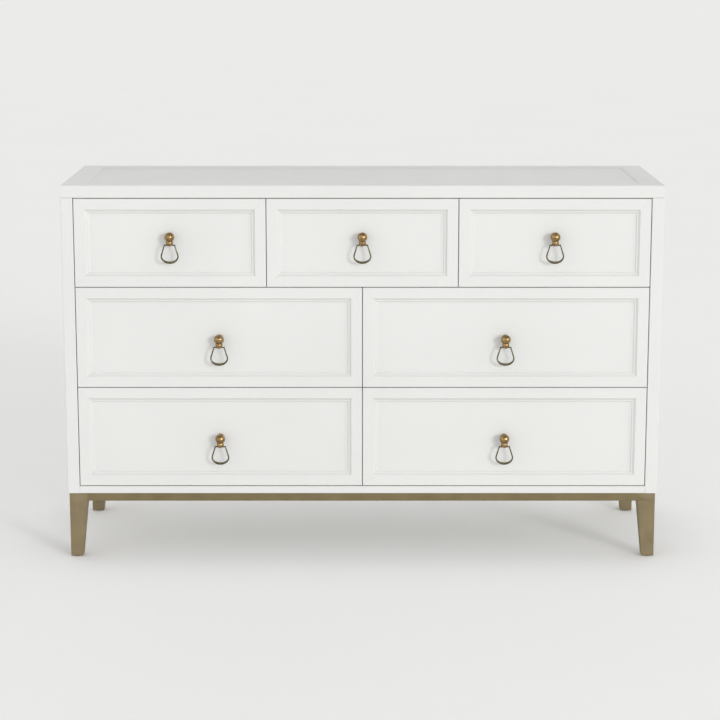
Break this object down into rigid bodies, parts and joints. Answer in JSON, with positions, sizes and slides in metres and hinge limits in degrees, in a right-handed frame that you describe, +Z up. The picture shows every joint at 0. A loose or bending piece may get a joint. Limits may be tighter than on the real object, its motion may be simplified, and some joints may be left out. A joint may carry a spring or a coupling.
{
  "type": "dresser with drawers",
  "caption": "White lacquered dresser with inset frame-and-panel drawers on telescopic slides, teardrop ring pulls and a brass leg frame.",
  "frame": {"origin": "on the floor under the middle of the whole dresser, pulls included", "axes": "+X to the right as one faces the drawers, +Y from the drawer fronts to the back, +Z up; drawers open towards -Y"},
  "size_m": [1.422, 0.4812, 0.905],
  "materials": {
    "white_lacquer": "satin white lacquer over hardwood and MDF",
    "back_board": "white-faced hardboard",
    "drawer_wood": "clear-sealed birch",
    "brushed_brass": "matte brushed antique brass",
    "antique_brass": "polished antique brass",
    "zinc_slides": "zinc-plated rolled steel",
    "zinc_screws": "zinc-plated steel",
    "nylon_glide": "moulded nylon"
  },
  "bodies": {
    "root": {"top_border": "white_lacquer", "top_panel": "white_lacquer", "side_left": "white_lacquer", "side_right": "white_lacquer", "back_panel": "back_board", "bottom_board": "white_lacquer", "bottom_rail": "white_lacquer", "cross_rails": "white_lacquer", "dividers": "white_lacquer", "base_bars_long": "brushed_brass", "base_bars_short": "brushed_brass", "leg_front_left": "brushed_brass", "leg_front_right": "brushed_brass", "leg_back_left": "brushed_brass", "leg_back_right": "brushed_brass", "floor_glides": "nylon_glide", "case_screws": "zinc_screws", "slides_case_channels": "zinc_slides"},
    "drawer_bottom_left": {"drawer_bottom_left_front": "white_lacquer", "drawer_bottom_left_box": "drawer_wood", "drawer_bottom_left_runners": "zinc_slides", "pull_bottom_left_post": "antique_brass"},
    "slides_bottom_left": {"slides_bottom_left_middle": "zinc_slides"},
    "ring_bottom_left": {"pull_bottom_left_ring": "antique_brass"},
    "drawer_bottom_right": {"drawer_bottom_right_front": "white_lacquer", "drawer_bottom_right_box": "drawer_wood", "drawer_bottom_right_runners": "zinc_slides", "pull_bottom_right_post": "antique_brass"},
    "slides_bottom_right": {"slides_bottom_right_middle": "zinc_slides"},
    "ring_bottom_right": {"pull_bottom_right_ring": "antique_brass"},
    "drawer_middle_left": {"drawer_middle_left_front": "white_lacquer", "drawer_middle_left_box": "drawer_wood", "drawer_middle_left_runners": "zinc_slides", "pull_middle_left_post": "antique_brass"},
    "slides_middle_left": {"slides_middle_left_middle": "zinc_slides"},
    "ring_middle_left": {"pull_middle_left_ring": "antique_brass"},
    "drawer_middle_right": {"drawer_middle_right_front": "white_lacquer", "drawer_middle_right_box": "drawer_wood", "drawer_middle_right_runners": "zinc_slides", "pull_middle_right_post": "antique_brass"},
    "slides_middle_right": {"slides_middle_right_middle": "zinc_slides"},
    "ring_middle_right": {"pull_middle_right_ring": "antique_brass"},
    "drawer_top_left": {"drawer_top_left_front": "white_lacquer", "drawer_top_left_box": "drawer_wood", "drawer_top_left_runners": "zinc_slides", "pull_top_left_post": "antique_brass"},
    "slides_top_left": {"slides_top_left_middle": "zinc_slides"},
    "ring_top_left": {"pull_top_left_ring": "antique_brass"},
    "drawer_top_middle": {"drawer_top_middle_front": "white_lacquer", "drawer_top_middle_box": "drawer_wood", "drawer_top_middle_runners": "zinc_slides", "pull_top_middle_post": "antique_brass"},
    "slides_top_middle": {"slides_top_middle_middle": "zinc_slides"},
    "ring_top_middle": {"pull_top_middle_ring": "antique_brass"},
    "drawer_top_right": {"drawer_top_right_front": "white_lacquer", "drawer_top_right_box": "drawer_wood", "drawer_top_right_runners": "zinc_slides", "pull_top_right_post": "antique_brass"},
    "slides_top_right": {"slides_top_right_middle": "zinc_slides"},
    "ring_top_right": {"pull_top_right_ring": "antique_brass"}
  },
  "joints": [
    {"name": "drawer_bottom_left_slide", "type": "slide", "parent": "root", "child": "drawer_bottom_left", "axis": [0, -1, 0], "range_m": [0, 0.38]},
    {"name": "slides_bottom_left_travel", "type": "slide", "parent": "root", "child": "slides_bottom_left", "axis": [0, -1, 0], "range_m": [0, 0.19]},
    {"name": "ring_bottom_left_swing", "type": "hinge", "parent": "drawer_bottom_left", "child": "ring_bottom_left", "pos_m": [-0.34087, -0.2289, 0.27748], "axis": [-1, 0, 0], "range_deg": [-24, 200]},
    {"name": "drawer_bottom_right_slide", "type": "slide", "parent": "root", "child": "drawer_bottom_right", "axis": [0, -1, 0], "range_m": [0, 0.38]},
    {"name": "slides_bottom_right_travel", "type": "slide", "parent": "root", "child": "slides_bottom_right", "axis": [0, -1, 0], "range_m": [0, 0.19]},
    {"name": "ring_bottom_right_swing", "type": "hinge", "parent": "drawer_bottom_right", "child": "ring_bottom_right", "pos_m": [0.34087, -0.2289, 0.27748], "axis": [-1, 0, 0], "range_deg": [-24, 200]},
    {"name": "drawer_middle_left_slide", "type": "slide", "parent": "root", "child": "drawer_middle_left", "axis": [0, -1, 0], "range_m": [0, 0.38]},
    {"name": "slides_middle_left_travel", "type": "slide", "parent": "root", "child": "slides_middle_left", "axis": [0, -1, 0], "range_m": [0, 0.19]},
    {"name": "ring_middle_left_swing", "type": "hinge", "parent": "drawer_middle_left", "child": "ring_middle_left", "pos_m": [-0.34087, -0.2289, 0.51992], "axis": [-1, 0, 0], "range_deg": [-24, 200]},
    {"name": "drawer_middle_right_slide", "type": "slide", "parent": "root", "child": "drawer_middle_right", "axis": [0, -1, 0], "range_m": [0, 0.38]},
    {"name": "slides_middle_right_travel", "type": "slide", "parent": "root", "child": "slides_middle_right", "axis": [0, -1, 0], "range_m": [0, 0.19]},
    {"name": "ring_middle_right_swing", "type": "hinge", "parent": "drawer_middle_right", "child": "ring_middle_right", "pos_m": [0.34087, -0.2289, 0.51992], "axis": [-1, 0, 0], "range_deg": [-24, 200]},
    {"name": "drawer_top_left_slide", "type": "slide", "parent": "root", "child": "drawer_top_left", "axis": [0, -1, 0], "range_m": [0, 0.38]},
    {"name": "slides_top_left_travel", "type": "slide", "parent": "root", "child": "slides_top_left", "axis": [0, -1, 0], "range_m": [0, 0.19]},
    {"name": "ring_top_left_swing", "type": "hinge", "parent": "drawer_top_left", "child": "ring_top_left", "pos_m": [-0.4545, -0.2289, 0.76505], "axis": [-1, 0, 0], "range_deg": [-24, 200]},
    {"name": "drawer_top_middle_slide", "type": "slide", "parent": "root", "child": "drawer_top_middle", "axis": [0, -1, 0], "range_m": [0, 0.38]},
    {"name": "slides_top_middle_travel", "type": "slide", "parent": "root", "child": "slides_top_middle", "axis": [0, -1, 0], "range_m": [0, 0.19]},
    {"name": "ring_top_middle_swing", "type": "hinge", "parent": "drawer_top_middle", "child": "ring_top_middle", "pos_m": [0, -0.2289, 0.76505], "axis": [-1, 0, 0], "range_deg": [-24, 200]},
    {"name": "drawer_top_right_slide", "type": "slide", "parent": "root", "child": "drawer_top_right", "axis": [0, -1, 0], "range_m": [0, 0.38]},
    {"name": "slides_top_right_travel", "type": "slide", "parent": "root", "child": "slides_top_right", "axis": [0, -1, 0], "range_m": [0, 0.19]},
    {"name": "ring_top_right_swing", "type": "hinge", "parent": "drawer_top_right", "child": "ring_top_right", "pos_m": [0.4545, -0.2289, 0.76505], "axis": [-1, 0, 0], "range_deg": [-24, 200]}
  ],
  "couplings": [
    {"joint": "slides_bottom_left_travel", "follows": "drawer_bottom_left_slide", "ratio": 0.5},
    {"joint": "slides_bottom_right_travel", "follows": "drawer_bottom_right_slide", "ratio": 0.5},
    {"joint": "slides_middle_left_travel", "follows": "drawer_middle_left_slide", "ratio": 0.5},
    {"joint": "slides_middle_right_travel", "follows": "drawer_middle_right_slide", "ratio": 0.5},
    {"joint": "slides_top_left_travel", "follows": "drawer_top_left_slide", "ratio": 0.5},
    {"joint": "slides_top_middle_travel", "follows": "drawer_top_middle_slide", "ratio": 0.5},
    {"joint": "slides_top_right_travel", "follows": "drawer_top_right_slide", "ratio": 0.5}
  ]
}
